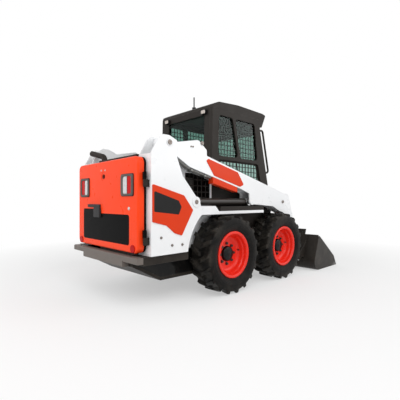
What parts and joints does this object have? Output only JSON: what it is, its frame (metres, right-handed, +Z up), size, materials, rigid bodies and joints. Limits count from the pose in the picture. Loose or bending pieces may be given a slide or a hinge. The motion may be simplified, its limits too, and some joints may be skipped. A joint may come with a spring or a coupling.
{
  "type": "skid steer loader",
  "caption": "Wheeled skid steer loader with an enclosed cab, side lift arms and a bucket; arms, bucket, door, tailgate, engine cover and wheels move.",
  "frame": {"origin": "on the ground, midway between the bumper's rear face and the bucket's cutting edge, on the centreline", "axes": "+X forward towards the bucket, +Y to the machine's left, +Z up"},
  "size_m": [3.22, 1.524, 2.1],
  "materials": {
    "white_paint": "gloss",
    "black_paint": "satin",
    "grey_paint": "satin",
    "red_paint": "gloss",
    "black_plastic": "matt",
    "engine_iron": "rough",
    "bracket_steel": "satin",
    "cylinder_paint": "gloss",
    "rod_chrome": "polished",
    "tyre": "matt",
    "seat_cover": "grained",
    "window_glass": "clear",
    "lens_red": "gloss",
    "lens_clear": "gloss"
  },
  "bodies": {
    "chassis": {"tub": "black_paint", "belly_pan": "black_paint", "bay_sides": "white_paint", "side_screens": "black_paint", "rear_rails": "black_paint", "rear_bumper": "grey_paint", "axle_tubes": "black_paint", "towers": "white_paint", "fender_steps": "black_paint", "side_panels": "red_paint", "panel_insets": "black_plastic", "engine": "engine_iron", "exhaust": "black_paint", "cab_sides": "black_paint", "cab_grilles": "black_paint", "cab_rear_wall": "black_paint", "cab_glass": "window_glass", "cab_roof": "black_paint", "cab_front_frame": "black_paint", "cab_floor": "black_paint", "seat": "seat_cover", "consoles": "black_plastic", "seat_bar": "black_paint", "grab_handle": "black_paint", "antenna": "black_plastic", "work_lamps": "lens_clear", "door_hinges": "black_paint", "tailgate_hinges": "black_paint"},
    "door": {"door_frame": "black_paint", "door_glass": "window_glass"},
    "tailgate": {"tailgate": "red_paint", "lamp_housings": "black_plastic", "lamp_red": "lens_red", "lamp_clear": "lens_clear", "plate_bracket": "bracket_steel", "reflectors": "lens_red"},
    "engine_cover": {"engine_cover": "black_paint", "cover_skirt": "black_paint"},
    "arms": {"arms": "white_paint", "arm_panels": "red_paint", "arm_prop": "red_paint", "arm_crossmember": "black_paint"},
    "lift_barrels": {"lift_barrels": "cylinder_paint"},
    "lift_rods": {"lift_rods": "rod_chrome"},
    "tilt_barrels": {"tilt_barrels": "cylinder_paint"},
    "tilt_rods": {"tilt_rods": "rod_chrome"},
    "bucket": {"bucket": "black_paint", "tach_frame": "black_paint", "tach_levers": "black_paint"},
    "wheel_rear_left": {"tyre_rear_left": "tyre", "rim_rear_left": "red_paint"},
    "wheel_rear_right": {"tyre_rear_right": "tyre", "rim_rear_right": "red_paint"},
    "wheel_front_left": {"tyre_front_left": "tyre", "rim_front_left": "red_paint"},
    "wheel_front_right": {"tyre_front_right": "tyre", "rim_front_right": "red_paint"}
  },
  "joints": [
    {"name": "lift", "type": "hinge", "parent": "chassis", "child": "arms", "pos_m": [-1.304, 0, 1.397], "axis": [0, -1, 0], "range_deg": [0, 63]},
    {"name": "lift_barrel_swing", "type": "hinge", "parent": "chassis", "child": "lift_barrels", "pos_m": [-0.996, 0, 0.895], "axis": [0, -1, 0], "range_deg": [-1, 67]},
    {"name": "lift_rod_slide", "type": "slide", "parent": "lift_barrels", "child": "lift_rods", "axis": [1, 0, 0.0035], "range_m": [-0.005, 0.62]},
    {"name": "tilt", "type": "hinge", "parent": "arms", "child": "bucket", "pos_m": [0.865, 0, 0.18], "axis": [0, 1, 0], "range_deg": [-30, 107]},
    {"name": "tilt_barrel_swing", "type": "hinge", "parent": "arms", "child": "tilt_barrels", "pos_m": [0.565, 0, 0.62], "axis": [0, 1, 0], "range_deg": [-3, 8]},
    {"name": "tilt_rod_slide", "type": "slide", "parent": "tilt_barrels", "child": "tilt_rods", "axis": [0.7336, 0, -0.6796], "range_m": [-0.055, 0.19]},
    {"name": "door_swing", "type": "hinge", "parent": "chassis", "child": "door", "pos_m": [0.37613, 0.403, 1.29562], "axis": [-0.2391, 0, 0.971], "range_deg": [0, 85]},
    {"name": "tailgate_swing", "type": "hinge", "parent": "chassis", "child": "tailgate", "pos_m": [-1.525, -0.574, 0.87], "axis": [0, 0, 1], "range_deg": [0, 100]},
    {"name": "cover_swing", "type": "hinge", "parent": "chassis", "child": "engine_cover", "pos_m": [-0.669, 0, 1.256], "axis": [0, 1, 0], "range_deg": [0, 60]},
    {"name": "wheel_rear_left_spin", "type": "hinge", "parent": "chassis", "child": "wheel_rear_left", "pos_m": [-0.565, 0.583, 0.38], "axis": [0, 1, 0], "continuous": true},
    {"name": "wheel_rear_right_spin", "type": "hinge", "parent": "chassis", "child": "wheel_rear_right", "pos_m": [-0.565, -0.583, 0.38], "axis": [0, 1, 0], "continuous": true},
    {"name": "wheel_front_left_spin", "type": "hinge", "parent": "chassis", "child": "wheel_front_left", "pos_m": [0.34, 0.583, 0.38], "axis": [0, 1, 0], "continuous": true},
    {"name": "wheel_front_right_spin", "type": "hinge", "parent": "chassis", "child": "wheel_front_right", "pos_m": [0.34, -0.583, 0.38], "axis": [0, 1, 0], "continuous": true}
  ],
  "couplings": [
    {"joint": "lift_barrel_swing", "follows": "lift", "ratio": 1.0385},
    {"joint": "lift_rod_slide", "follows": "lift", "m_per_rad": 0.5581},
    {"joint": "tilt_barrel_swing", "follows": "tilt", "ratio": 0.0575},
    {"joint": "tilt_rod_slide", "follows": "tilt", "m_per_rad": 0.09636}
  ]
}
